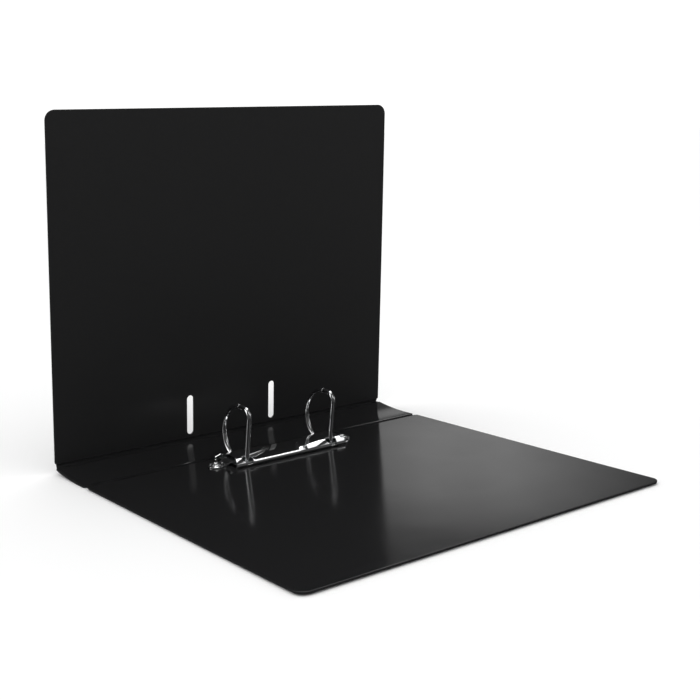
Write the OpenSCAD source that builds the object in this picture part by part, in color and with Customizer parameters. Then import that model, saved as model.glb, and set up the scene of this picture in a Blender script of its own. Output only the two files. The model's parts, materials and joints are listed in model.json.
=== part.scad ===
// Two-ring binder: a one-piece sheet cover with two living hinges, and a
// sprung steel ring mechanism riveted inside the back cover.
// X runs from the spine to the free edge of the back cover, Y runs along the
// spine, and Z is up. The origin is the middle of the footprint, on the table.
// The back cover lies flat, the spine lies beside it, the front cover stands.

/* [Cover] */
// Height of the cover, along the spine
cover_height = 318; // [300:1:330]
// Width of each cover panel, from its crease to its free edge
cover_width = 272; // [240:1:280]
// Thickness of the sheet
sheet = 2; // [1.6:0.1:2.4]
// Distance between the two creases
spine_width = 53; // [52:0.5:60]
// How far the spine bulges outwards between its creases
spine_bow = 1.5; // [1:0.1:2]
// Angle of the spine above the table
spine_rise = 3.5; // [3.5:0.1:5]
// Lean of the standing front cover over the spine, from upright
front_lean = 4; // [0:0.5:5]
// Radius of the corners on the free edges
corner_r = 8; // [4:0.5:12]

/* [Lock slots in the front cover] */
// Length of each slot, round ends included
slot_length = 33; // [28:1:36]
// Width of each slot
slot_width = 6; // [5:0.1:7]
// Height of the middle of each slot above its crease
slot_middle = 22; // [20:0.5:24]

/* [Rings] */
// Distance between the two rings, the punching of a sheet
ring_spacing = 80; // [80:1:80]
// Diameter of the ring wire
wire = 3.6; // [3:0.1:3.8]
// Height of the wire's middle line above the cover, at the top of a ring
ring_height = 44.4; // [43:0.2:45]
// Radius of the round side of a ring
round_r = 23.5; // [23:0.1:24]
// Radius of the corner between the top and the straight leg
ring_corner_r = 7; // [5:0.5:8]
// Lean of the straight leg, from upright
leg_lean = 9; // [8:0.5:10]
// Distance from the crease to the outermost point of the round side
ring_reach = 1.8; // [1.8:0.1:3]

/* [Mechanism housing] */
// Distance from the crease to the middle of the mechanism
mech_x = 22; // [21.5:0.1:22.5]
// Overall width across the two lips
housing_width = 32; // [32:0.5:33]
// Half length of the side walls
housing_half = 53; // [52:0.5:54]
// Height of the raised ends over the cover
shoulder_height = 5.8; // [5.6:0.1:6.5]
// Height of the low middle over the cover
middle_height = 4.4; // [4.4:0.1:5]
// Thickness of the stamped steel
steel = 0.7; // [0.6:0.05:0.8]
// Distance from the middle to each fixing rivet
rivet_y = 61; // [60.5:0.5:63]

/* [Hidden] */
$fn = 64;

polypropylene = "#1c1c1e";
chrome = "#c9ccd0";
nickel = "#b4b6b8";
beyond = 400;
skin = 1;

// Creases: each is a bead on its own hinge axis, and the panels stop short of it
crease_z = sheet / 2;
crease_gap = 1.5;
crease_x1 = -spine_width * cos(spine_rise);
crease_z1 = crease_z + spine_width * sin(spine_rise);
crease_length = cover_height - 6;
origin_x = (crease_x1 - sheet / 2 + cover_width) / 2;
bow_r = (pow(spine_width / 2, 2) + pow(spine_bow, 2)) / (2 * spine_bow);

// Housing, in the mechanism's frame: its middle, on the cover's upper face
lip_x = housing_width / 2;
lip_low = 0.6;
lip_top = 2.2;
lip_curl = 1.6;
lip_thick = 0.4;
shoulder_x = 10.5;
ramp_start = 20;
ramp_end = 30;
tongue_half = 6;
tongue_start = 47;
tongue_bend = 50;
tongue_end = 56;
lug_r = 6;
lug_thick = 0.9;
foot_length = 3.5;
pip_base_r = 1.4;
pip_top_r = 0.8;
pip_height = 0.4;

// Notches that the half rings come out of
notch_x = 8.4;
notch_low = 1.7;
notch_low_half = 2.7;
notch_top_half = 6;

// Rails: each turns on a bead along its outer edge, and dips to the middle
pivot_x = 13.6;
pivot_z = 1.9;
rail_thick = 0.8;
rail_half = 50;
rail_bead_r = 0.5;
rail_gap = 0.2;
rail_dip = 4.2;

// Half rings: the lower stretches are a hair thicker, and lap over the upper ones
leg_x = 11;
leg_start = 2.2;
tenon_r = 1.2;
tenon_drop = 1.3;
tenon_clearance = 0.06;
stake_r = 1.9;
stake_thick = 0.35;
stake_gap = 0.03;
foot_bend_r = 3;
wire_lap = 0.2;
swollen_r = wire / 2 + 0.02;
tip_x = 4.2;
tip_gap = 0.3;
tip_pin_r = 0.6;
tip_pin_length = 0.8;
tip_clearance = 0.3;

// Rivets and their caps
rivet_head_r = 3.7;
rivet_head = 1.3;
rivet_shank_r = 2.4;
rivet_bore_r = 1.6;
cap_r = 5;
cap_thick = 0.6;
cap_recess = 0.7;
cap_stem_r = 1.5;
cap_stem = 2;
hole_clearance = 0.1;

// Middle lines of a ring: a large arc, a tighter arc and a short bend below it,
// and on the other side a leaning leg under a corner
round_x = ring_reach + round_r - mech_x;
round_z = ring_height - round_r;
foot_dx = mech_x - leg_x - ring_reach;
foot_dz = round_z - leg_start;
lower_r = (pow(foot_dx, 2) + pow(foot_dz, 2)) / (2 * foot_dx) - foot_bend_r;
lower_turn = 2 * atan(foot_dx / foot_dz);
leg_end_z = ring_height - ring_corner_r * (1 + sin(leg_lean));
leg_length = (leg_end_z - leg_start) / cos(leg_lean);
corner_x = leg_x + (leg_end_z - leg_start) * tan(leg_lean) - ring_corner_r * cos(leg_lean);

// A flat outline in x and z, extruded along y about the middle
module along_y(length) {
    rotate([90, 0, 0]) linear_extrude(length, center = true) children();
}

// A flat outline in y and z, extruded along x about the middle
module along_x(length) {
    rotate([90, 0, 90]) linear_extrude(length, center = true) children();
}

module centred() {
    translate([-origin_x, 0, 0]) children();
}

module on_mechanism() {
    centred() translate([mech_x, 0, sheet]) children();
}

module at_front_crease() {
    centred() translate([crease_x1, 0, crease_z1]) children();
}

// A cover panel lying flat, from its crease to its rounded free corners.
// Children are cut out of it.
module panel() {
    half = cover_height / 2;
    straight = cover_width - corner_r;
    translate([0, 0, -sheet / 2]) linear_extrude(sheet) difference() {
        union() {
            translate([crease_gap, -half]) square([straight - crease_gap, 2 * half]);
            translate([straight - skin, corner_r - half])
                square([corner_r + skin, 2 * (half - corner_r)]);
            for (side = [-1, 1])
                translate([straight, side * (half - corner_r)]) circle(corner_r);
        }
        children();
    }
}

module back_cover() {
    color(polypropylene) centred() difference() {
        translate([0, 0, crease_z]) panel();
        for (side = [-1, 1]) translate([mech_x, side * rivet_y, -skin]) {
            cylinder(h = sheet + 2 * skin, r = rivet_shank_r + hole_clearance);
            cylinder(h = skin + cap_recess, r = cap_r + hole_clearance);
        }
    }
}

// The spine is a shallow arc that bulges towards the table
module spine_panel() {
    color(polypropylene) centred() translate([0, 0, crease_z]) rotate([0, spine_rise, 0])
        translate([-spine_width / 2, 0, 0]) intersection() {
            cube([spine_width - 2 * crease_gap, cover_height, spine_width], center = true);
            translate([0, 0, bow_r - spine_bow]) rotate([90, 0, 0]) difference() {
                cylinder(h = cover_height, r = bow_r + sheet / 2, center = true, $fn = 720);
                cylinder(h = beyond, r = bow_r - sheet / 2, center = true, $fn = 720);
            }
        }
}

module slot_outline() {
    reach = (slot_length - slot_width) / 2;
    square([2 * reach, slot_width], center = true);
    for (side = [-1, 1]) translate([side * reach, 0]) circle(slot_width / 2);
}

// The front cover stands on its crease, with a slot opposite each ring
module front_cover() {
    color(polypropylene) at_front_crease() rotate([0, front_lean - 90, 0]) panel()
        for (side = [-1, 1])
            translate([slot_middle, side * ring_spacing / 2]) slot_outline();
}

module crease_bead() {
    rotate([90, 0, 0]) cylinder(h = crease_length, r = sheet / 2, center = true);
}

module back_crease() {
    color(polypropylene) centred() translate([0, 0, crease_z]) crease_bead();
}

module front_crease() {
    color(polypropylene) at_front_crease() crease_bead();
}

// Cross-section of the housing. An inset gives the section of its hollow.
module housing_section(inset) {
    low = inset > 0 ? -skin : lip_low;
    slope = atan((shoulder_height - lip_top) / (lip_x - shoulder_x));
    wall_x = lip_x - inset;
    knee_z = lip_top - inset * tan((90 - slope) / 2);
    top_x = shoulder_x - inset * tan(slope / 2);
    top_z = shoulder_height - inset;
    polygon([
        [-wall_x, low], [-wall_x, knee_z], [-top_x, top_z],
        [top_x, top_z], [wall_x, knee_z], [wall_x, low]
    ]);
}

// Side view of the housing: low in the middle and raised at each ring
module housing_side(inset) {
    low = inset > 0 ? -skin : lip_low;
    end = inset > 0 ? housing_half + skin : housing_half;
    raised = shoulder_height - inset;
    middle = middle_height - inset;
    polygon([
        [-end, low], [-end, raised], [-ramp_end, raised], [-ramp_start, middle],
        [ramp_start, middle], [ramp_end, raised], [end, raised], [end, low]
    ]);
}

module housing_body(inset) {
    intersection() {
        along_y(beyond) housing_section(inset);
        along_x(beyond) housing_side(inset);
    }
}

module leg_notch() {
    depth = lip_x + skin - notch_x;
    top = shoulder_height + skin;
    translate([notch_x + depth / 2, 0, 0]) along_x(depth) polygon([
        [-notch_low_half, notch_low], [notch_low_half, notch_low],
        [notch_top_half, top], [-notch_top_half, top]
    ]);
}

// The edge of each side wall curls in under the rail's bead
module curled_lip() {
    translate([lip_x - lip_curl, -housing_half, lip_low])
        cube([lip_curl, 2 * housing_half, lip_thick]);
}

// Pointed foot at the end of a side wall, standing on the cover
module wall_foot() {
    translate([lip_x - steel / 2, 0, 0]) along_x(steel) polygon([
        [housing_half - foot_length, lip_low], [housing_half - foot_length, lip_top],
        [housing_half, lip_top], [housing_half, 0], [housing_half - foot_length / 3, 0]
    ]);
}

// Tongue that comes down from the top of the housing, with a round riveted lug
module end_lug() {
    along_x(2 * tongue_half) polygon([
        [tongue_start, shoulder_height], [tongue_bend, shoulder_height],
        [tongue_end, lug_thick], [rivet_y, lug_thick], [rivet_y, 0],
        [tongue_end - steel, 0], [tongue_bend - steel, shoulder_height - steel],
        [tongue_start, shoulder_height - steel]
    ]);
    translate([0, rivet_y, 0]) cylinder(h = lug_thick, r = lug_r);
}

module ring_housing() {
    color(chrome) on_mechanism() difference() {
        union() {
            difference() {
                housing_body(0);
                housing_body(steel);
                for (side = [0, 180], y = [-1, 1])
                    translate([0, y * ring_spacing / 2, 0]) rotate([0, 0, side]) leg_notch();
            }
            for (side = [0, 1]) mirror([side, 0, 0]) {
                curled_lip();
                for (end = [0, 1]) mirror([0, end, 0]) wall_foot();
            }
            for (end = [0, 1]) mirror([0, end, 0]) {
                end_lug();
                translate([0, ring_spacing / 2, shoulder_height - steel / 2])
                    cylinder(h = steel / 2 + pip_height, r1 = pip_base_r, r2 = pip_top_r);
            }
        }
        for (side = [-1, 1]) translate([0, side * rivet_y, -skin])
            cylinder(h = lug_thick + 2 * skin, r = rivet_shank_r + hole_clearance);
    }
}

// Places things in the frame of the rail on the +X side: its bead's axis is at
// the origin and the plate runs towards -X
module in_rail_frame() {
    translate([pivot_x, 0, pivot_z]) rotate([0, -rail_dip, 0]) children();
}

// Lower end of a half ring: a tenon through the rail, spread below it
module staked_end(lean) {
    translate([leg_x, 0, leg_start]) rotate([0, lean, 0])
        translate([0, 0, -tenon_drop]) cylinder(h = tenon_drop + skin, r = tenon_r);
    in_rail_frame() translate([leg_x - pivot_x, 0, -rail_thick / 2 - stake_gap - stake_thick])
        cylinder(h = stake_thick, r = stake_r);
}

// The rail on the +X side, for legs with a given lean
module rail(lean) {
    reach = pivot_x - rail_gap;
    difference() {
        in_rail_frame() {
            translate([-reach, -rail_half, -rail_thick / 2]) cube([reach, 2 * rail_half, rail_thick]);
            rotate([90, 0, 0]) cylinder(h = 2 * rail_half, r = rail_bead_r, center = true);
        }
        for (side = [-1, 1]) translate([leg_x, side * ring_spacing / 2, leg_start])
            rotate([0, lean, 0]) cylinder(h = 4 * rail_thick, r = tenon_r + tenon_clearance,
                center = true);
    }
}

module cover_side_rail() {
    color(nickel) on_mechanism() rail(leg_lean);
}

module spine_side_rail() {
    color(nickel) on_mechanism() mirror([1, 0, 0]) rail(0);
}

// Part of a ring-shaped wire standing in x and z, from one angle over a turn
module wire_arc(x, z, r, from, turn, wire_r = wire / 2) {
    translate([x, 0, z]) rotate([90, 0, 0]) rotate([0, 0, from])
        rotate_extrude(angle = turn, $fn = 128) translate([r, 0]) circle(wire_r);
}

// Straight leg, corner and a short top that ends in a pin
module straight_half_ring() {
    corner_z = ring_height - ring_corner_r;
    top_length = corner_x - tip_x - tip_gap / 2;
    translate([corner_x, 0, corner_z]) rotate([0, leg_lean, 0])
        translate([ring_corner_r, 0, wire_lap]) mirror([0, 0, 1])
            cylinder(h = leg_length + wire_lap, r = swollen_r);
    wire_arc(corner_x, corner_z, ring_corner_r, 90, -90 - leg_lean);
    translate([corner_x, 0, ring_height]) rotate([0, -90, 0]) {
        cylinder(h = top_length, r = wire / 2);
        translate([0, 0, top_length - skin])
            cylinder(h = tip_pin_length + skin, r = tip_pin_r);
    }
    staked_end(leg_lean);
}

// Round side, from the tip's socket down to a short bend that ends upright
module round_half_ring() {
    tip = tip_x - tip_gap / 2;
    difference() {
        union() {
            translate([round_x, 0, ring_height]) rotate([0, 90, 0])
                cylinder(h = tip - round_x, r = wire / 2);
            wire_arc(round_x, round_z, round_r, 90, 90);
            wire_arc(ring_reach - mech_x + lower_r, round_z, lower_r, 180, lower_turn);
            wire_arc(-leg_x - foot_bend_r, leg_start, foot_bend_r, 0,
                lower_turn + wire_lap / foot_bend_r * 180 / PI, swollen_r);
            mirror([1, 0, 0]) staked_end(0);
        }
        translate([tip + skin, 0, ring_height]) rotate([0, -90, 0])
            cylinder(h = 2 * skin, r = tip_pin_r + tip_clearance);
    }
}

module near_round_half_ring() {
    color(chrome) on_mechanism() translate([0, -ring_spacing / 2, 0]) round_half_ring();
}

module far_round_half_ring() {
    color(chrome) on_mechanism() translate([0, ring_spacing / 2, 0]) round_half_ring();
}

module near_straight_half_ring() {
    color(chrome) on_mechanism() translate([0, -ring_spacing / 2, 0]) straight_half_ring();
}

module far_straight_half_ring() {
    color(chrome) on_mechanism() translate([0, ring_spacing / 2, 0]) straight_half_ring();
}

// Tubular rivet: a domed ring for a head, and a shank through lug and cover
module rivet() {
    top = lug_thick + rivet_head;
    low = cap_recess - sheet;
    rotate_extrude() polygon([
        [rivet_bore_r, low], [rivet_shank_r, low], [rivet_shank_r, lug_thick],
        [rivet_head_r, lug_thick], [rivet_head_r, lug_thick + rivet_head / 3],
        [rivet_head_r - rivet_head / 2, top - rivet_head / 6],
        [rivet_bore_r + rivet_head / 2, top], [rivet_bore_r, top - rivet_head / 3]
    ]);
}

// Cap under the back cover, sunk into it, with a stem up the rivet's bore
module rivet_cap() {
    low = cap_recess - sheet - cap_thick;
    translate([0, 0, low]) cylinder(h = cap_thick, r = cap_r);
    translate([0, 0, low]) cylinder(h = cap_thick + cap_stem, r = cap_stem_r);
}

module near_rivet() {
    color(chrome) on_mechanism() translate([0, -rivet_y, 0]) rivet();
}

module far_rivet() {
    color(chrome) on_mechanism() translate([0, rivet_y, 0]) rivet();
}

module near_rivet_cap() {
    color(nickel) on_mechanism() translate([0, -rivet_y, 0]) rivet_cap();
}

module far_rivet_cap() {
    color(nickel) on_mechanism() translate([0, rivet_y, 0]) rivet_cap();
}

back_cover();
spine_panel();
front_cover();
back_crease();
front_crease();
ring_housing();
spine_side_rail();
cover_side_rail();
near_round_half_ring();
far_round_half_ring();
near_straight_half_ring();
far_straight_half_ring();
near_rivet();
far_rivet();
near_rivet_cap();
far_rivet_cap();
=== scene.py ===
"""Looks of the two-ring binder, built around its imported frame.

The cover is one black sheet with a fine grain, thinned along two creases. The
ring mechanism is a stamped, chromed housing over two sprung rails that carry the
half rings. Everything is in metres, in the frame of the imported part.
"""

import json
import math

import bmesh
import bpy
import numpy as np
from mathutils import Matrix, Vector


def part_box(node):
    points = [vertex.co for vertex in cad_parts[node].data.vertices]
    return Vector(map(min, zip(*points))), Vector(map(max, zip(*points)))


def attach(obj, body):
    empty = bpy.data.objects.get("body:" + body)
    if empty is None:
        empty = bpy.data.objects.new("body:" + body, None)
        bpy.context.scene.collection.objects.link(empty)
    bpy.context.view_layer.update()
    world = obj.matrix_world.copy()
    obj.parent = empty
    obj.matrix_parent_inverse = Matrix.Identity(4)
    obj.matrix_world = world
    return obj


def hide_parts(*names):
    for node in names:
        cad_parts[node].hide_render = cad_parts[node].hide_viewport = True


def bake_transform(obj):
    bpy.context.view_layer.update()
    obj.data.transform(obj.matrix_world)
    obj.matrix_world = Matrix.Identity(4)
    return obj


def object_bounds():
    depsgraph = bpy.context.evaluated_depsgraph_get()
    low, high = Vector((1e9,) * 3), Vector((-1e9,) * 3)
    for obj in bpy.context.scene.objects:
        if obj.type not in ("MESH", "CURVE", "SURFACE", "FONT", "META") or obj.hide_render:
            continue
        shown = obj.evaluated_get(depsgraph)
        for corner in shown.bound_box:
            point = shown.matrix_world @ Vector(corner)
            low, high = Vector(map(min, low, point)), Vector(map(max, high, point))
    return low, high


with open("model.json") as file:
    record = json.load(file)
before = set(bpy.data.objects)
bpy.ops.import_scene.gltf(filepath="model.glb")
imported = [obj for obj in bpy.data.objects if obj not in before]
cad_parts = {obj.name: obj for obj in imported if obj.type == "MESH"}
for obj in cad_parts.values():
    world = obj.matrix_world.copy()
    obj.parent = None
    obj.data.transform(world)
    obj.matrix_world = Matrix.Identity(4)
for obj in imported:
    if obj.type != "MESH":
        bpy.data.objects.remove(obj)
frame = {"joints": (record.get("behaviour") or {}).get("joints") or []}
cad_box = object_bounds()

MM = 0.001
JOINTS = {joint["name"]: joint for joint in frame["joints"]}

# ---------------------------------------------------------------- sizes

BACK_HINGE = Vector(JOINTS["spine_hinge"]["pos_m"])
FRONT_HINGE = Vector(JOINTS["front_hinge"]["pos_m"])
BACK_LOW, BACK_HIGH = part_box("back_cover")
FRONT_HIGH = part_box("front_cover")[1]
HOUSING_LOW, HOUSING_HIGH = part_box("ring_housing")
WIRE_LOW, WIRE_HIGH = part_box("far_round_half_ring")

SHEET = BACK_HIGH.z - BACK_LOW.z
COVER_HEIGHT = BACK_HIGH.y - BACK_LOW.y
COVER_WIDTH = BACK_HIGH.x - BACK_HINGE.x
FRONT_LEAN = math.asin((FRONT_HIGH.x - FRONT_HINGE.x - SHEET / 2) / COVER_WIDTH)
SPINE = FRONT_HINGE - BACK_HINGE
SPINE_WIDTH = SPINE.length
SPINE_BOW = 1.46 * MM
RING_Y = (WIRE_LOW.y + WIRE_HIGH.y) / 2
WIRE_R = (WIRE_HIGH.y - WIRE_LOW.y) / 2
MECHANISM = Vector(((HOUSING_LOW.x + HOUSING_HIGH.x) / 2, 0, BACK_HIGH.z))

# Cover sheet: its rims are rounder towards the outer face than towards the inner one
CORNER_R = 8 * MM
CREASE_CORNER_R = 1.4 * MM
PANEL_START = 3 * MM
PANEL_CELLS = 26
SHEET_RIM = 0.35 * MM
SHEET_OUTER_RIM = 1.1 * MM
RIM_STEPS = (0, 0.08, 0.3, 0.6, 1, 2.2)
SUPPORT = 0.4 * MM
EDGE_LIFT = 0.4 * MM
EDGE_LIFT_START = 0.5
FRONT_WAVE = 0.45 * MM
WAVE_ALONG = 2.4
WAVE_ACROSS = 1.5
PATH_POINTS = 40
PLATE_ROWS = 32
SLOT_LENGTH = 33 * MM
SLOT_WIDTH = 6 * MM
SLOT_MIDDLE = 22 * MM

# Creases: the inner face dips into a groove, the outer face hardly does
CREASE_REACH = 3.5 * MM
CREASE_BEND = 1.6 * MM
CREASE_INNER = 0.1 * MM
CREASE_OUTER = -0.7 * MM
CREASE_EDGE = 0.85 * MM
CREASE_FLAT = 0.5 * MM
CREASE_TAPER = 2 * MM

# From here on, sizes are those of the mechanism, in millimetres in its own frame

# Side walls of the housing, with curled lips
LIP_X = 16
LIP_LOW = 0.75
LIP_TOP = 2.2
LIP_CURL = 1.4
LIP_RISE = 0.1
SHOULDER_X = 10.5
SHOULDER = 5.8
WALL_END = 53
WALL_ROUNDS = 6
FOOT_START = 51
FOOT_SOFT = 1.5
FOOT_DROP = 0.85
SHELL = 0.55
SHELL_ROWS = 213
KNOWN_ROWS = 300
BEND_ROUNDS = 3

# Top of the housing, raised at both ends inside a curved step
MIDDLE_X = 14.3
MIDDLE_WALL = 3.2
MIDDLE = 4.4
STEP = 0.5
STEP_SOFT = 2.4
CROWN = 1.1
STEP_END = (12.6, 8)
STEP_SPAN = (21.6, 28)
STEP_BEND = 1.7
RAISED_FROM = 30
PIP_HEIGHT = 0.7
PIP_R = 1.3
TOP_END = 49.6

# Notches for the legs: their cutter has a half width at each height
NOTCH_X = 13
NOTCH_DEPTH = 4.6
NOTCH_OUTSIDE = 18
NOTCH_LEVELS = ((1.7, 2.7), (4.0, 4.2), (8.0, 6.8))

# Raised rim round the top of a notch
RIM_HALF = 5.3
RIM_TURN = 1.05
RIM_LIFT = 0.05
RIM_POINTS = 19
RIM_R = 0.32
RIM_END_R = 0.15

# Bead of the lip below a notch
BEAD_INSET = 0.45
BEAD_BULGE = 0.9
BEAD_BEND = 1.2
BEAD_HALF = 3.4
BEAD_TURN = 1.3
BEAD_HEIGHT = 1.25
BEAD_POINTS = 15
BEAD_R = 0.5
BEAD_END_R = 0.25

# Tongue and lug at each end of the housing
TONGUE_START = 43
TONGUE_END = 57
TONGUE_THICK = 0.62
TONGUE_RIM = 0.3
TONGUE_DISH = 0.9
TONGUE_DISH_Y = 53.4
TONGUE_DISH_SOFT = 1.9
RIVET_Y = 61
LUG_R = 6.2
LUG_THICK = 0.9
LUG_NECK = 4
LUG_RIM = 1.0
LUG_RIM_R = 4.95
LUG_RIM_SOFT = 0.6
LUG_BOSS = 1.1
LUG_BOSS_Y = 55.6
LUG_BOSS_R = 1.1

# Middle line of the ring wire
RING_TOP = 44.4
ROUND_CENTRE = (3.3, 20.9)
ROUND_R = 23.5
LOWER_R = 20.6
LOWER_TURN = 52.4
FOOT_BEND = 3
LEG_X = 11
LEG_START = 2.2
CORNER_CENTRE = (9.49, 37.4)
RING_CORNER_R = 7
LEG_LEAN = 9
SPLIT_X = 4.2
SPLIT_GAP = 0.3

# Tips: distances from the end of the wire and how much thinner it is there. The pin that joins
# two tips has distances from that end and radii
TIP_THINNER = 0.35
TIP_ROUNDING = ((0.08, 0.12), (0.3, 0.03), (0.6, 0))
PIN = ((-0.75, 0.3), (-0.6, 0.55), (0.0, 0.55))
PIN_SHOULDER = 0.01

# Foot of a leg below its shoulder: heights and radii of the tenon and its spread end
FOOT_STEPS = ((2.15, 1.2), (0.95, 1.2), (0.9, 1.8), (0.65, 1.8), (0.6, 1.5))

# Rails: distances inwards from the pivot and half thicknesses of the rolled edge, then a flat
RAIL_PIVOT = (13.6, 1.9)
RAIL_HALF = 49.4
RAIL_DIP = 4.2
ROLLED_EDGE = ((-0.5, 0.12), (-0.45, 0.24), (-0.3, 0.4), (0, 0.5), (0.3, 0.45), (0.5, 0.4), (0.8, 0.4))
RAIL_FLAT = (1.2, 13.4)
RAIL_FLAT_POINTS = 24
RAIL_HALF_THICK = 0.4

# Rivets: a tube whose head is an arc, and a cap given by radii and heights round its outline
RIVET_BORE = 1.6
RIVET_R = 2.35
RIVET_FOOT = -1.25
RIVET_BORE_TOP = 0.6
HEAD_CENTRE = (2.65, 1.15)
HEAD_R = 1.05
CAP_OUTLINE = ((0.01, 0.1), (1.4, 0.1), (1.45, 0), (1.45, -1.25), (4.7, -1.32), (4.95, -1.5),
               (4.98, -1.7), (4.8, -1.86), (4.3, -1.9), (0.01, -1.9))


def smoothstep(t):
    t = np.clip(t, 0, 1)
    return t * t * (3 - 2 * t)


# ---------------------------------------------------------------- materials


class Nodes:
    """A material's node tree, with short calls for the nodes that the materials share."""

    def __init__(self, name):
        self.material = bpy.data.materials.new(name)
        self.material.use_nodes = True
        self.tree = self.material.node_tree
        self.shader = self.tree.nodes["Principled BSDF"]
        self.place = self.tree.nodes.new("ShaderNodeTexCoord").outputs["Object"]

    def link(self, source, target):
        self.tree.links.new(source, target)

    def noise(self, scale, detail=2.0, roughness=0.5, stretch=(1, 1, 1)):
        """Noise with scale features to a metre, stretched along an axis where stretch is small."""
        mapping = self.tree.nodes.new("ShaderNodeMapping")
        mapping.inputs["Scale"].default_value = stretch
        self.link(self.place, mapping.inputs["Vector"])
        noise = self.tree.nodes.new("ShaderNodeTexNoise")
        noise.inputs["Scale"].default_value = scale
        noise.inputs["Detail"].default_value = detail
        noise.inputs["Roughness"].default_value = roughness
        self.link(mapping.outputs["Vector"], noise.inputs["Vector"])
        return noise.outputs["Fac"]

    def ranged(self, source, low, high, from_low=0.0, from_high=1.0):
        """The source's range from_low to from_high turned into low to high."""
        node = self.tree.nodes.new("ShaderNodeMapRange")
        node.inputs["From Min"].default_value = from_low
        node.inputs["From Max"].default_value = from_high
        node.inputs["To Min"].default_value = low
        node.inputs["To Max"].default_value = high
        self.link(source, node.inputs["Value"])
        return node.outputs["Result"]

    def math(self, operation, a, b):
        node = self.tree.nodes.new("ShaderNodeMath")
        node.operation = operation
        for socket, value in zip(node.inputs, (a, b)):
            if isinstance(value, float):
                socket.default_value = value
            else:
                self.link(value, socket)
        return node.outputs["Value"]

    def mixed(self, share, first, second):
        node = self.tree.nodes.new("ShaderNodeMix")
        node.data_type = "RGBA"
        node.inputs["A"].default_value = (*first, 1)
        node.inputs["B"].default_value = (*second, 1)
        self.link(share, node.inputs["Factor"])
        return node.outputs["Result"]

    def bump(self, height, depth, below=None):
        """Relief of that depth in metres, over the relief below it."""
        node = self.tree.nodes.new("ShaderNodeBump")
        node.inputs["Distance"].default_value = depth
        self.link(height, node.inputs["Height"])
        if below is not None:
            self.link(below, node.inputs["Normal"])
        return node.outputs["Normal"]


def cover_sheet_material(name, polished, rubbed_dull):
    """Black polypropylene: a sand-fine grain, faint flow marks, rubbed patches and hairline
    scratches, with a roughness between that of polished and of dully rubbed places."""
    look = Nodes(name)
    grain = look.noise(1150, detail=4, roughness=0.65)
    mottle = look.noise(420, detail=4, roughness=0.6)
    rubbed = look.noise(14, detail=5, roughness=0.62)
    waves = look.noise(11, detail=1)
    scratches = look.math("GREATER_THAN", look.noise(620, detail=1, stretch=(1, 0.02, 1)), 0.74)
    blacks = ((0.0088, 0.0088, 0.0092), (0.0136, 0.0136, 0.0141))
    look.link(look.mixed(mottle, *blacks), look.shader.inputs["Base Color"])
    worn = look.ranged(rubbed, polished, rubbed_dull, 0.3, 0.7)
    dull = look.math("ADD", worn, look.ranged(mottle, -0.012, 0.02))
    look.link(look.math("ADD", dull, look.ranged(scratches, 0.0, 0.03)), look.shader.inputs["Roughness"])
    relief = look.bump(waves, 0.10 * MM)
    relief = look.bump(mottle, 0.010 * MM, relief)
    look.link(look.bump(grain, 0.006 * MM, relief), look.shader.inputs["Normal"])
    look.shader.inputs["IOR"].default_value = 1.49
    return look.material


def chrome_material():
    """Polished plate with a little orange peel, hairlines from handling and a few dull specks."""
    look = Nodes("chrome_plate")
    peel = look.noise(900, detail=2)
    haze = look.noise(260, detail=4, roughness=0.6)
    hairlines = look.math("GREATER_THAN", look.noise(900, detail=1, stretch=(1, 0.06, 1)), 0.70)
    look.link(look.mixed(haze, (0.74, 0.745, 0.755), (0.84, 0.845, 0.85)), look.shader.inputs["Base Color"])
    dull = look.math("ADD", look.ranged(haze, 0.025, 0.07, 0.35, 0.75), look.ranged(hairlines, 0.0, 0.06))
    look.link(dull, look.shader.inputs["Roughness"])
    look.link(look.bump(peel, 0.006 * MM), look.shader.inputs["Normal"])
    look.shader.inputs["Metallic"].default_value = 1
    return look.material


def zinc_material():
    """Plain zinc on rolled steel: fine lines along the mechanism and cloudy spangle."""
    look = Nodes("zinc_plate")
    spangle = look.noise(180, detail=4, roughness=0.65)
    lines = look.noise(2400, detail=2, stretch=(1, 0.04, 1))
    look.link(look.mixed(spangle, (0.40, 0.41, 0.43), (0.60, 0.61, 0.62)), look.shader.inputs["Base Color"])
    look.link(look.ranged(spangle, 0.28, 0.5, 0.3, 0.7), look.shader.inputs["Roughness"])
    look.link(look.bump(lines, 0.01 * MM), look.shader.inputs["Normal"])
    look.shader.inputs["Metallic"].default_value = 1
    return look.material


COVER_SHEET = cover_sheet_material("cover_sheet", 0.10, 0.15)
FRONT_SHEET = cover_sheet_material("front_sheet", 0.30, 0.38)
CHROME = chrome_material()
ZINC = zinc_material()


# ---------------------------------------------------------------- mesh helpers


def piece_from(name, bm, material, smooth_below=40):
    """A new object from a bmesh, smooth except across edges sharper than smooth_below degrees."""
    bmesh.ops.recalc_face_normals(bm, faces=bm.faces)
    mesh = bpy.data.meshes.new(name)
    bm.to_mesh(mesh)
    bm.free()
    mesh.shade_smooth()
    mesh.set_sharp_from_angle(angle=math.radians(smooth_below))
    mesh.materials.append(material)
    piece = bpy.data.objects.new(name, mesh)
    bpy.context.scene.collection.objects.link(piece)
    return piece


def finish_piece(node):
    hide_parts(node)


def add_loop(bm, points):
    return [bm.verts.new(point) for point in points]


def bridge(bm, first, second, closed=True):
    """Quads between two rows of vertices of the same length."""
    count = len(first) if closed else len(first) - 1
    for i in range(count):
        j = (i + 1) % len(first)
        bm.faces.new((first[i], first[j], second[j], second[i]))


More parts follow.
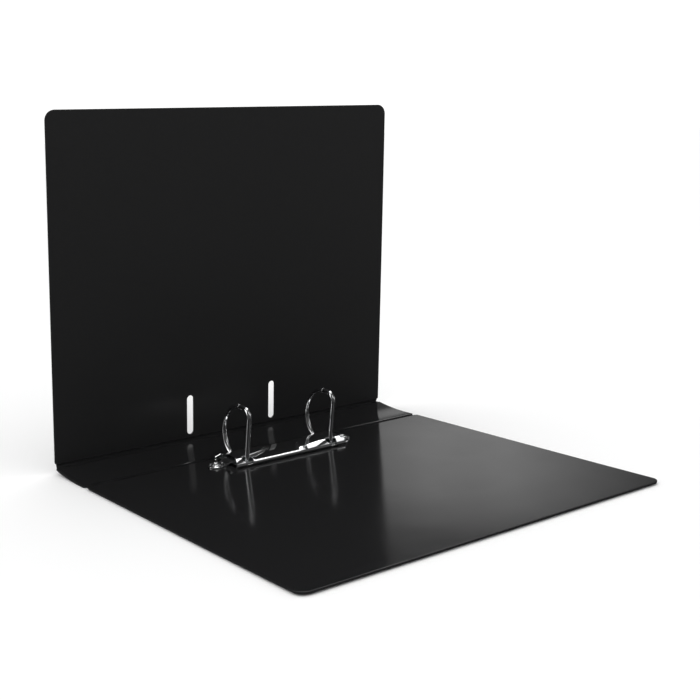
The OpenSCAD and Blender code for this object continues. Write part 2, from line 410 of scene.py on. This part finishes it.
def add_closed_grid(bm, upper, lower):
    """A closed solid between two grids of points with the same numbers of rows and columns."""
    top = [add_loop(bm, row) for row in upper]
    bottom = [add_loop(bm, row) for row in lower]
    for a, b in zip(top, top[1:]):
        bridge(bm, a, b, closed=False)
    for a, b in zip(bottom, bottom[1:]):
        bridge(bm, a, b, closed=False)
    for row in (0, -1):
        bridge(bm, top[row], bottom[row], closed=False)
    for column in (0, -1):
        bridge(bm, [row[column] for row in top], [row[column] for row in bottom], closed=False)


def on_mechanism(x, y, z):
    """A point given in millimetres in the mechanism's frame."""
    return MECHANISM + Vector((x, y, z)) * MM


def add_sweep(bm, path, radii, sides=24):
    """A round wire along points in millimetres, closed by a cap at both ends."""
    points = [on_mechanism(*point) for point in path]
    rings = []
    side = None
    for i, (point, radius) in enumerate(zip(points, radii)):
        tangent = (points[min(i + 1, len(points) - 1)] - points[max(i - 1, 0)]).normalized()
        if side is None:
            side = tangent.cross(Vector((0, 0, 1)) if abs(tangent.z) < 0.9 else Vector((0, 1, 0)))
        side = (side - tangent * side.dot(tangent)).normalized()
        other = tangent.cross(side)
        angles = [2 * math.pi * k / sides for k in range(sides)]
        rings.append(add_loop(bm, [
            point + (side * math.cos(a) + other * math.sin(a)) * radius * MM for a in angles]))
    for a, b in zip(rings, rings[1:]):
        bridge(bm, a, b)
    bm.faces.new(rings[0])
    bm.faces.new(rings[-1])


def add_revolved(bm, profile, centre, sides=56):
    """A closed profile of radius and height, in millimetres, turned about a vertical axis."""
    columns = []
    for k in range(sides):
        a = 2 * math.pi * k / sides
        columns.append(add_loop(bm, [
            on_mechanism(centre[0] + r * math.cos(a), centre[1] + r * math.sin(a), z)
            for r, z in profile]))
    for k in range(sides):
        bridge(bm, columns[k], columns[(k + 1) % sides])


def arc(centre, r, start, end, steps):
    """Points on an arc from one angle to another, in degrees, both ends included."""
    angles = [math.radians(start + (end - start) * i / steps) for i in range(steps + 1)]
    return [(centre[0] + r * math.cos(a), centre[1] + r * math.sin(a)) for a in angles]


# ---------------------------------------------------------------- cover


def panel_outline(inset):
    """Outline of a cover panel: small corners at the crease, large ones at the free edge."""
    half = COVER_HEIGHT / 2 - inset
    low, high = PANEL_START + inset, COVER_WIDTH - inset
    small, large = CREASE_CORNER_R - inset, CORNER_R - inset
    points = arc((low + small, small - half), small, 180, 270, 6)
    points += arc((high - large, large - half), large, 270, 360, 16)
    points += arc((high - large, half - large), large, 0, 90, 16)
    points += arc((low + small, half - small), small, 90, 180, 6)
    return points


def slot_outline(y):
    """Outline of a lock slot as a function of its inset, which makes an opening larger."""
    def outline(inset):
        r = SLOT_WIDTH / 2 + inset
        reach = (SLOT_LENGTH - SLOT_WIDTH) / 2
        return (arc((SLOT_MIDDLE + reach, y), r, -90, 90, 14)
                + arc((SLOT_MIDDLE - reach, y), r, 90, 270, 14))
    return outline


def panel_piece(name, openings, lift, material):
    """A cover panel in its own frame: x from the crease, z through the sheet towards its inner
    face. The rims are round, more so towards the outer face."""
    bm = bmesh.new()
    half = SHEET / 2
    levels = []
    for facing, rim in ((1, SHEET_RIM), (-1, SHEET_OUTER_RIM)):
        corner = [(rim + SUPPORT, facing * half)]
        corner += [(rim * (1 - math.sin(a)), facing * (half - rim * (1 - math.cos(a))))
                   for a in np.linspace(0, math.pi / 2, 6)]
        levels += corner[::facing]
    ends = ([], [])
    for outline in [panel_outline, *openings]:
        loops = [add_loop(bm, [(x, y, height) for x, y in outline(inset)]) for inset, height in levels]
        for a, b in zip(loops, loops[1:]):
            bridge(bm, a, b)
        for end, loop in zip(ends, (loops[0], loops[-1])):
            end.extend(bm.edges.get((loop[i - 1], loop[i])) for i in range(len(loop)))
    for end, facing in zip(ends, (1, -1)):
        bmesh.ops.triangle_fill(bm, edges=end, use_beauty=True, normal=(0, 0, facing))
    for axis, size, start in ((0, COVER_WIDTH, 0), (1, COVER_HEIGHT, -COVER_HEIGHT / 2)):
        for cut in np.linspace(start, start + size, PANEL_CELLS + 1)[1:-1]:
            across = Vector((0, 0, 0))
            across[axis] = 1
            bmesh.ops.bisect_plane(bm, geom=bm.verts[:] + bm.edges[:] + bm.faces[:],
                                   plane_co=across * cut, plane_no=across, dist=1e-7)
    for vertex in bm.verts:
        vertex.co.z += lift(vertex.co.x / COVER_WIDTH, vertex.co.y / COVER_HEIGHT)
    return piece_from(name, bm, material)


def back_lift(along, across):
    """The free edge of the lying cover curls up a little."""
    return EDGE_LIFT * max(0, (along - EDGE_LIFT_START) / (1 - EDGE_LIFT_START)) ** 2


def front_lift(along, across):
    """The standing cover is not quite flat: it waves gently from corner to corner."""
    return FRONT_WAVE * math.sin(WAVE_ALONG * along - WAVE_ACROSS * across) * along


def back_cover():
    piece = panel_piece("back_cover_sheet", [], back_lift, COVER_SHEET)
    piece.data.transform(Matrix.Translation(BACK_HINGE))
    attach(piece, "back")
    finish_piece("back_cover")


def front_cover():
    """The panel is turned over before it is stood up, so that its inner face looks at the rings."""
    openings = [slot_outline(-RING_Y), slot_outline(RING_Y)]
    piece = panel_piece("front_cover_sheet", openings, front_lift, FRONT_SHEET)
    turn = Matrix.Rotation(FRONT_LEAN - math.pi / 2, 4, "Y") @ Matrix.Rotation(math.pi, 4, "X")
    piece.data.transform(Matrix.Translation(FRONT_HINGE) @ turn)
    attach(piece, "front")
    finish_piece("front_cover")


def rim_drop(distance, rim):
    """How far a face has sunk at a distance from its edge, so that the edge is round."""
    inside = np.clip(rim - distance, 0, rim)
    return rim - np.sqrt(rim ** 2 - inside ** 2)


def plate_piece(name, path, upper, lower, y_half, material):
    """A sheet along a path in x and z, with faces at offsets above and below it and round rims.
    The path's inner side is to its left."""
    path = np.array(path)
    tangent = np.gradient(path, axis=0)
    tangent /= np.linalg.norm(tangent, axis=1)[:, None]
    normal = np.stack([-tangent[:, 1], tangent[:, 0]], axis=1)
    steps = np.linalg.norm(np.diff(path, axis=0), axis=1)
    along = np.concatenate([[0], np.cumsum(steps)])
    from_end = np.minimum(along, along[-1] - along)
    edge_rows = y_half - SHEET_RIM * np.array(RIM_STEPS)
    rows = np.concatenate([-edge_rows, np.linspace(-y_half, y_half, PLATE_ROWS)[2:-2], edge_rows[::-1]])
    end_drop = rim_drop(from_end, SHEET_RIM)

    def face(offset):
        sign = math.copysign(1, offset[0])
        grid = []
        for y in rows:
            drop = np.maximum(end_drop, rim_drop(y_half - abs(y), SHEET_RIM))
            row = path + normal * (offset - sign * drop)[:, None]
            grid.append([(x, y, z) for x, z in row])
        return grid

    bm = bmesh.new()
    add_closed_grid(bm, face(np.array(upper)), face(np.array(lower)))
    return piece_from(name, bm, material)


def with_rim_points(start, end):
    """Distances from start to end, close together near both, for a rim that is round."""
    rim = SHEET_RIM * np.array(RIM_STEPS)
    return np.concatenate([start + rim, np.linspace(start, end, PATH_POINTS)[2:-2], (end - rim)[::-1]])


def spine():
    """The spine bulges outwards in a shallow arc between its creases."""
    along = SPINE / SPINE_WIDTH
    outward = Vector((-along.z, 0, along.x))
    path = []
    for s in with_rim_points(PANEL_START, SPINE_WIDTH - PANEL_START)[::-1]:
        bulge = SPINE_BOW * (1 - (2 * s / SPINE_WIDTH - 1) ** 2)
        point = BACK_HINGE + along * s + outward * bulge
        path.append((point.x, point.z))
    half = np.full(len(path), SHEET / 2)
    piece = plate_piece("spine_sheet", path, half, -half, COVER_HEIGHT / 2, COVER_SHEET)
    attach(piece, "spine")
    finish_piece("spine_panel")


def crease(name, node, hinge, before, after):
    """The thinned sheet of a living hinge. It runs from the panel before it, seen from the
    front cover's side, to the panel after it, and bends between their bodies."""
    reach = with_rim_points(0, CREASE_REACH - CREASE_BEND)
    first = [hinge + before * (CREASE_REACH - s) for s in reach[:-1]]
    last = [hinge + after * (CREASE_BEND + s) for s in reach[1:]]
    bend = [hinge + (before * (1 - t) ** 2 + after * t ** 2) * CREASE_BEND for t in np.linspace(0, 1, 13)]
    points = [*first, *bend, *last]
    ends = (hinge + before * CREASE_REACH, hinge + after * CREASE_REACH)
    distance = np.array([min((end - point).length for end in ends) for point in points])
    full = 1 - smoothstep((distance - CREASE_FLAT) / CREASE_TAPER)
    upper = CREASE_INNER + (CREASE_EDGE - CREASE_INNER) * full
    lower = CREASE_OUTER - (CREASE_EDGE + CREASE_OUTER) * full
    path = [(point.x, point.z) for point in points]
    piece = plate_piece(name, path, upper, lower, COVER_HEIGHT / 2 - CREASE_CORNER_R, COVER_SHEET)
    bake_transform(piece)
    finish_piece(node)


def creases():
    towards_back = -SPINE / SPINE_WIDTH
    up_the_front = Vector((math.sin(FRONT_LEAN), 0, math.cos(FRONT_LEAN)))
    crease("front_crease_web", "front_crease", FRONT_HINGE, up_the_front, towards_back)
    crease("back_crease_web", "back_crease", BACK_HINGE, -towards_back, Vector((1, 0, 0)))


# ---------------------------------------------------------------- mechanism


def top_height(x, y):
    """Height of the housing's top, which is crowned across. Each end is raised inside a curved
    step that runs from a notch on one side to the wall on the other, and the two ends are alike
    after half a turn."""
    turn = np.where(y < 0, -1, 1)
    x, y = turn * x, turn * y
    middle = MIDDLE - (MIDDLE - MIDDLE_WALL) * (x / MIDDLE_X) ** 2
    reach = np.clip((STEP_END[0] - x) / STEP_SPAN[0], 0, 1)
    edge = STEP_END[1] + STEP_SPAN[1] * (1 - (1 - reach ** STEP_BEND) ** (1 / STEP_BEND))
    raised = MIDDLE + STEP + (SHOULDER - MIDDLE - STEP) * smoothstep(
        (y - STEP_END[1]) / (RAISED_FROM - STEP_END[1]))
    raised = raised + CROWN * np.clip(1 - (x / SHOULDER_X) ** 2, 0, 1)
    height = middle + (raised - middle) * smoothstep((y - edge) / STEP_SOFT + 0.5)
    from_pip = (x ** 2 + (y - RING_Y / MM) ** 2) / PIP_R ** 2
    return height + PIP_HEIGHT * np.exp(-from_pip)


def wall_top(side, y):
    """Where the sloping side wall on one side meets the top, as a point of the cross-section. Each
    round puts the height found so far into the slope of the wall."""
    x = SHOULDER_X
    for _ in range(WALL_ROUNDS):
        height = top_height(side * x, y)
        x = LIP_X - (height - LIP_TOP) * (LIP_X - SHOULDER_X) / (SHOULDER - LIP_TOP)
    return side * x, height


def housing_profile(y):
    """Cross-section of the housing's outside at a place along it, from lip to lip, with the
    stamped bends rounded."""
    foot = smoothstep((abs(y) - FOOT_START) / FOOT_SOFT)
    low = LIP_LOW * (1 - FOOT_DROP * foot)
    curl_x = LIP_X - LIP_CURL * (1 - foot)
    curl_z = LIP_LOW + LIP_RISE
    corners = [(-curl_x, curl_z), (-LIP_X, low), (-LIP_X, LIP_TOP), wall_top(-1, y),
               wall_top(1, y), (LIP_X, LIP_TOP), (LIP_X, low), (curl_x, curl_z)]
    counts = (4, 5, 14, 60, 14, 5, 4)
    points = [corners[0]]
    for start, end, count in zip(corners, corners[1:], counts):
        share = np.linspace(0, 1, count + 1)[1:]
        points += [(start[0] + (end[0] - start[0]) * t, start[1] + (end[1] - start[1]) * t) for t in share]
    profile = np.array(points, float)
    top = slice(sum(counts[:3]), sum(counts[:4]) + 1)
    profile[top, 1] = top_height(profile[top, 0], y)
    for _ in range(BEND_ROUNDS):
        profile[1:-1] = (profile[:-2] + 2 * profile[1:-1] + profile[2:]) / 4
    return profile


def housing_surface():
    """Points of the housing's outside: rows along its length, columns from lip to lip. The side
    walls run on further than the top, so their ends are cut at a slant."""
    end_profile = housing_profile(TOP_END)
    ends = WALL_END - (WALL_END - TOP_END) * (end_profile[:, 1] - LIP_LOW) / (SHOULDER - LIP_LOW)
    ends = np.clip(ends, TOP_END, WALL_END)
    known_y = np.linspace(-WALL_END, WALL_END, KNOWN_ROWS)
    known = np.array([housing_profile(y) for y in known_y])
    surface = []
    for share in np.linspace(-1, 1, SHELL_ROWS):
        row = []
        for column, end in enumerate(ends):
            y = share * end
            x = np.interp(y, known_y, known[:, column, 0])
            z = np.interp(y, known_y, known[:, column, 1])
            row.append((x, y, z))
        surface.append(row)
    return np.array(surface)


def notches():
    """The side and the place along the housing of each of its notches."""
    return [(side, y) for side in (-1, 1) for y in (-RING_Y / MM, RING_Y / MM)]


def notch_cutter():
    """Tapered cutters, wide at the top and narrow at the lip, one for each leg."""
    bm = bmesh.new()
    for side, y in notches():
        loops = []
        for z, half in NOTCH_LEVELS:
            bow = [(NOTCH_X - NOTCH_DEPTH * math.cos(a), half * math.sin(a))
                   for a in np.linspace(-math.pi / 2, math.pi / 2, 15)]
            outline = [(NOTCH_OUTSIDE, -half), *bow, (NOTCH_OUTSIDE, half)]
            loops.append(add_loop(bm, [on_mechanism(side * px, y + py, z) for px, py in outline]))
        for a, b in zip(loops, loops[1:]):
            bridge(bm, a, b)
        bm.faces.new(loops[0])
        bm.faces.new(loops[-1])
    return piece_from("notch_cutter", bm, CHROME)


def cut_notches(shell):
    cutter = notch_cutter()
    cut = shell.modifiers.new("notches", "BOOLEAN")
    cut.operation = "DIFFERENCE"
    cut.solver = "EXACT"
    cut.object = cutter
    graph = bpy.context.evaluated_depsgraph_get()
    cut_mesh = bpy.data.meshes.new_from_object(shell.evaluated_get(graph))
    shell.modifiers.clear()
    shell.data = cut_mesh
    bpy.data.objects.remove(cutter)


def bead_radii(count, middle, end):
    """Radii along a bead that gets thinner at both ends."""
    return [end, *[middle] * (count - 2), end]


def add_notch_trim(bm):
    """A raised rim round the top of each notch, and the lip curling out below it."""
    for side, y in notches():
        rim = [(side * (NOTCH_X - NOTCH_DEPTH * math.cos(a)), y + RIM_HALF * math.sin(a))
               for a in np.linspace(-RIM_TURN, RIM_TURN, RIM_POINTS)]
        rim = [(x, py, float(top_height(side * SHOULDER_X, py)) + RIM_LIFT) for x, py in rim]
        add_sweep(bm, rim, bead_radii(RIM_POINTS, RIM_R, RIM_END_R), sides=12)
        lip = [(side * (LIP_X - BEAD_INSET + BEAD_BULGE * math.cos(a * BEAD_BEND)),
                y + BEAD_HALF * math.sin(a), BEAD_HEIGHT)
               for a in np.linspace(-BEAD_TURN, BEAD_TURN, BEAD_POINTS)]
        add_sweep(bm, lip, bead_radii(BEAD_POINTS, BEAD_R, BEAD_END_R), sides=12)


def lug_height(x, y):
    """Relief of the lug: a pressed rim round its rivet and a small boss before it."""
    r = np.hypot(x, y - RIVET_Y)
    boss = np.hypot(x, y - LUG_BOSS_Y)
    rim = LUG_RIM * np.exp(-((r - LUG_RIM_R) / LUG_RIM_SOFT) ** 2)
    return rim + LUG_BOSS * np.exp(-(boss / LUG_BOSS_R) ** 2)


def add_tongue(bm, end):
    """The tongue that comes down from the top of the housing, hollow across its width, and the
    round lug that the rivet holds. Rows and columns of points lie closer together at the rims."""
    stations = np.array([  # along, height of the upper face, half width
        (TONGUE_START, 5.0, 8.5), (46.2, 5.55, 9.6), (47.4, 5.35, 9.4), (49, 4.5, 8.3), (51, 3.4, 7.0),
        (53, 2.35, 6.0), (55, 1.45, 5.2), (56.4, 0.98, 4.9), (57.2, LUG_THICK, 4.9)])
    lug_end = RIVET_Y + LUG_R
    least_square = 0.01
    rows = np.concatenate([np.linspace(TONGUE_START, TONGUE_END, 40),
                           np.linspace(TONGUE_END + 0.3, lug_end - 0.6, 26),
                           lug_end - np.array([0.4, 0.2, 0.08, 0.01])])
    near_rim = np.array([0.94, 0.985, 1])
    across = np.concatenate([-near_rim[::-1], np.linspace(-0.86, 0.86, 25), near_rim])
    upper, lower = [], []
    for y in rows:
        height = np.interp(y, stations[:, 0], stations[:, 1])
        half = np.interp(y, stations[:, 0], stations[:, 2])
        if y > RIVET_Y - LUG_NECK:
            half = math.sqrt(max(LUG_R ** 2 - (y - RIVET_Y) ** 2, least_square))
        dish = TONGUE_DISH * math.exp(-((y - TONGUE_DISH_Y) / TONGUE_DISH_SOFT) ** 2)
        x = across * half
        z = height - dish * (1 - across ** 2) + lug_height(x, y)
        drop = rim_drop(np.minimum((1 - abs(across)) * half, lug_end - y), TONGUE_RIM)
        upper.append([on_mechanism(px, end * y, pz) for px, pz in zip(x, z - drop)])
        lower.append([on_mechanism(px, end * y, pz) for px, pz in zip(x, z - TONGUE_THICK + drop)])
    add_closed_grid(bm, upper, lower)


def ring_housing():
    """A stamped shell of even thickness, notched for the legs, with a tongue and a lug at each end."""
    outside = housing_surface()
    across = np.gradient(outside, axis=1)
    along = np.gradient(outside, axis=0)
    normal = np.cross(along, across)
    normal /= np.linalg.norm(normal, axis=2)[:, :, None]
    inside = outside - normal * SHELL
    bm = bmesh.new()
    add_closed_grid(bm, [[on_mechanism(*p) for p in row] for row in outside],
                    [[on_mechanism(*p) for p in row] for row in inside])
    shell = piece_from("housing_shell", bm, CHROME)
    cut_notches(shell)
    bm = bmesh.new()
    bm.from_mesh(shell.data)
    add_notch_trim(bm)
    for end in (-1, 1):
        add_tongue(bm, end)
    bpy.data.objects.remove(shell)
    piece = piece_from("ring_housing_shell", bm, CHROME)
    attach(piece, "back")
    finish_piece("ring_housing")


def rails():
    """Two sprung plates under the housing, each with a rolled outer edge."""
    dip = math.radians(RAIL_DIP)
    flat = [(s, RAIL_HALF_THICK) for s in np.linspace(*RAIL_FLAT, RAIL_FLAT_POINTS)]
    reach, thick = np.array([*ROLLED_EDGE, *flat]).T
    for side, body, node in ((-1, "spine_side_rings", "spine_side_rail"),
                             (1, "cover_side_rings", "cover_side_rail")):
        path = [(RAIL_PIVOT[0] - s * math.cos(dip), RAIL_PIVOT[1] - s * math.sin(dip)) for s in reach]
        half = thick
        if side > 0:
            path, half = path[::-1], half[::-1]
        else:
            path = [(-x, z) for x, z in path]
        points = [(MECHANISM.x + x * MM, MECHANISM.z + z * MM) for x, z in path]
        piece = plate_piece(node + "_plate", points, half * MM, -half * MM, RAIL_HALF * MM, ZINC)
        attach(piece, body)
        finish_piece(node)


def staked_foot(x, lean):
    """Path and radii below a leg: a shoulder on the rail, a tenon through it and its spread end."""
    slope = math.tan(math.radians(lean))
    steps = [(LEG_START, WIRE_R / MM), *FOOT_STEPS]
    path = [(x + (z - LEG_START) * slope, z) for z, _ in steps]
    return path, [radius for _, radius in steps]


def wire_piece(name, path, radii, y, body, node):
    bm = bmesh.new()
    add_sweep(bm, [(x, y, z) for x, z in path], radii)
    piece = piece_from(name, bm, CHROME, smooth_below=50)
    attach(piece, body)
    finish_piece(node)


def round_half_rings():
    """The round sides: from the tip that takes the pin over a large arc, a tighter one and a bend."""
    wire = WIRE_R / MM
    tip = SPLIT_X - SPLIT_GAP / 2
    steps = [(0, TIP_THINNER), *TIP_ROUNDING]
    path = [(tip - s, RING_TOP) for s, _ in steps]
    radii = [wire - thinner for _, thinner in steps]
    path += arc(ROUND_CENTRE, ROUND_R, 90, 180, steps=60)
    lower_centre = (ROUND_CENTRE[0] - ROUND_R + LOWER_R, ROUND_CENTRE[1])
    path += arc(lower_centre, LOWER_R, 180, 180 + LOWER_TURN, steps=34)[1:]
    path += arc((-LEG_X - FOOT_BEND, LEG_START), FOOT_BEND, LOWER_TURN, 0, steps=10)[1:-1]
    radii += [wire] * (len(path) - len(radii))
    foot, foot_radii = staked_foot(-LEG_X, 0)
    for y, node in ((-RING_Y, "near_round_half_ring"), (RING_Y, "far_round_half_ring")):
        wire_piece(node + "_wire", path + foot, radii + foot_radii, y / MM, "spine_side_rings", node)


def straight_half_rings():
    """The straight sides: a pin at the tip, a short top, a corner and a leaning leg."""
    wire = WIRE_R / MM
    tip = SPLIT_X + SPLIT_GAP / 2
    steps = [(PIN_SHOULDER, TIP_THINNER), *TIP_ROUNDING]
    path = [(tip + s, RING_TOP) for s, _ in [*PIN, *steps]]
    radii = [radius for _, radius in PIN] + [wire - thinner for _, thinner in steps]
    path += arc(CORNER_CENTRE, RING_CORNER_R, 90, -LEG_LEAN, steps=30)
    x, z = path[-1]
    path += [(x + (LEG_X - x) * t, z + (LEG_START - z) * t) for t in np.linspace(0.03, 0.98, 26)]
    radii += [wire] * (len(path) - len(radii))
    foot, foot_radii = staked_foot(LEG_X, LEG_LEAN)
    for y, node in ((-RING_Y, "near_straight_half_ring"), (RING_Y, "far_straight_half_ring")):
        wire_piece(node + "_wire", path + foot, radii + foot_radii, y / MM, "cover_side_rings", node)


def rivets():
    """Tubular rivets with a domed head rolled round their bore, and the caps under the cover."""
    head = arc(HEAD_CENTRE, HEAD_R, -14, 194, steps=20)
    tube = [(RIVET_BORE, RIVET_FOOT), (RIVET_R, RIVET_FOOT), (RIVET_R, LUG_THICK), *head,
            (RIVET_BORE, RIVET_BORE_TOP)]
    for y, name in ((-RIVET_Y, "near_rivet"), (RIVET_Y, "far_rivet")):
        for profile, node, material, slot in ((tube, name, CHROME, "chrome_plate"),
                                              (CAP_OUTLINE, name + "_cap", ZINC, "zinc_plate")):
            bm = bmesh.new()
            add_revolved(bm, profile, (0, y))
            piece = piece_from(node + "_turned", bm, material)
            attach(piece, "back")
            finish_piece(node)


# ---------------------------------------------------------------- stage

# Brightness of the white room, and of what reflections see of it away from the softboxes
WHITE = 1.14
DIM = 0.06

FLOOR_SIZE = 30
FLOOR_GAP = 0.05 * MM

# Azimuth, elevation and roll in degrees, and the place in metres
CAMERA_TURN = (51.83, 8.29, -1.29)
CAMERA_PLACE = (0.695, -0.5275, 0.265)


def stage_floor():
    """A large pale floor, just below the object, that reflections don't show."""
    look = Nodes("pale_floor")
    whites = ((0.93, 0.93, 0.93), (0.95, 0.95, 0.95))
    look.link(look.mixed(look.noise(3, detail=3), *whites), look.shader.inputs["Base Color"])
    look.shader.inputs["Roughness"].default_value = 0.9
    look.shader.inputs["Specular IOR Level"].default_value = 0.1
    bpy.ops.mesh.primitive_plane_add(size=FLOOR_SIZE, location=(0, 0, cad_box[0].z - FLOOR_GAP))
    floor = bpy.context.object
    floor.name = "floor"
    floor.data.materials.append(look.material)
    floor.visible_glossy = False


def studio_world():
    """A white room, except that reflections see it dim, so that the softboxes shape them."""
    made = bpy.data.worlds.new("studio")
    made.use_nodes = True
    tree = made.node_tree
    white = tree.nodes["Background"]
    white.inputs["Strength"].default_value = WHITE
    white.inputs["Color"].default_value = (1, 1, 1, 1)
    dim = tree.nodes.new("ShaderNodeBackground")
    dim.inputs["Color"].default_value = (DIM, DIM, DIM, 1)
    path = tree.nodes.new("ShaderNodeLightPath")
    mix = tree.nodes.new("ShaderNodeMixShader")
    tree.links.new(path.outputs["Is Glossy Ray"], mix.inputs["Fac"])
    tree.links.new(white.outputs["Background"], mix.inputs[1])
    tree.links.new(dim.outputs["Background"], mix.inputs[2])
    tree.links.new(mix.outputs["Shader"], tree.nodes["World Output"].inputs["Surface"])
    bpy.context.scene.world = made


def softbox(name, azimuth, elevation, distance, size, strength, fade=(0.7, 0.7)):
    """A glowing panel that faces the object and fades out over a share of its width and height.
    Only reflections show it."""
    look = Nodes(name)
    parts = look.tree.nodes.new("ShaderNodeSeparateXYZ")
    look.link(look.place, parts.inputs["Vector"])
    glowing = [look.ranged(look.math("ABSOLUTE", parts.outputs[axis], 0.0), 0.0, 1.0, 1.0, 1.0 - share)
               for axis, share in zip("XY", fade)]
    glow = look.tree.nodes.new("ShaderNodeEmission")
    look.link(look.ranged(look.math("MULTIPLY", *glowing), DIM, strength), glow.inputs["Strength"])
    look.link(glow.outputs["Emission"], look.tree.nodes["Material Output"].inputs["Surface"])
    bpy.ops.mesh.primitive_plane_add(size=2)
    panel = bpy.context.object
    panel.name = name
    panel.data.materials.append(look.material)
    azimuth, elevation = math.radians(azimuth), math.radians(elevation)
    towards = Vector((math.cos(azimuth) * math.cos(elevation), math.sin(azimuth) * math.cos(elevation),
                      math.sin(elevation)))
    panel.location = towards * distance
    panel.rotation_euler = (-towards).to_track_quat("Z", "Y").to_euler()
    panel.scale = (size[0] / 2, size[1] / 2, 1)
    panel.visible_camera = False
    panel.visible_diffuse = False
    panel.visible_shadow = False


def softboxes():
    """Each has an azimuth from +X towards +Y and an elevation, in degrees, then a distance and
    a size in metres, and a strength."""
    softbox("far_glow", 135.2, 15.6, 3.0, (1.28, 0.42), 0.72, fade=(0.8, 0.2))
    softbox("high_softbox", 135, 50, 2.0, (1.9, 1.9), 3.6, fade=(0.6, 0.7))
    softbox("side_softbox", 10, 40, 2.0, (1.0, 1.6), 1.5)
    softbox("near_softbox", -95, 38, 2.0, (1.4, 1.0), 1.5)
    softbox("strip_softbox", -115, 12, 2.0, (0.75, 1.2), 3.2, fade=(0.4, 0.7))
    softbox("right_glow", 82, 7, 2.5, (1.7, 0.8), 1.3)
    softbox("overhead_softbox", 150, 86, 2.4, (1.9, 1.9), 3.2)
    softbox("horizon_glow", 38, 0, 3.0, (2.6, 1.4), 0.11)


def camera():
    """The camera stands beyond the lying cover's near free corner and looks slightly down."""
    azimuth, elevation, roll = (math.radians(a) for a in CAMERA_TURN)
    data = bpy.data.cameras.new("camera")
    data.lens = 62.4
    data.shift_x, data.shift_y = -0.02, -0.08
    view = bpy.data.objects.new("camera", data)
    back = Vector((math.sin(azimuth) * math.cos(elevation), -math.cos(azimuth) * math.cos(elevation),
                   math.sin(elevation)))
    turn = (-back).to_track_quat("-Z", "Y").to_matrix() @ Matrix.Rotation(roll, 3, "Z")
    view.matrix_world = Matrix.Translation(CAMERA_PLACE) @ turn.to_4x4()
    bpy.context.scene.collection.objects.link(view)
    bpy.context.scene.camera = view


back_cover()
front_cover()
spine()
creases()
ring_housing()
rails()
round_half_rings()
straight_half_rings()
rivets()
stage_floor()
studio_world()
softboxes()
camera()
bpy.context.scene.view_settings.view_transform = "Standard"
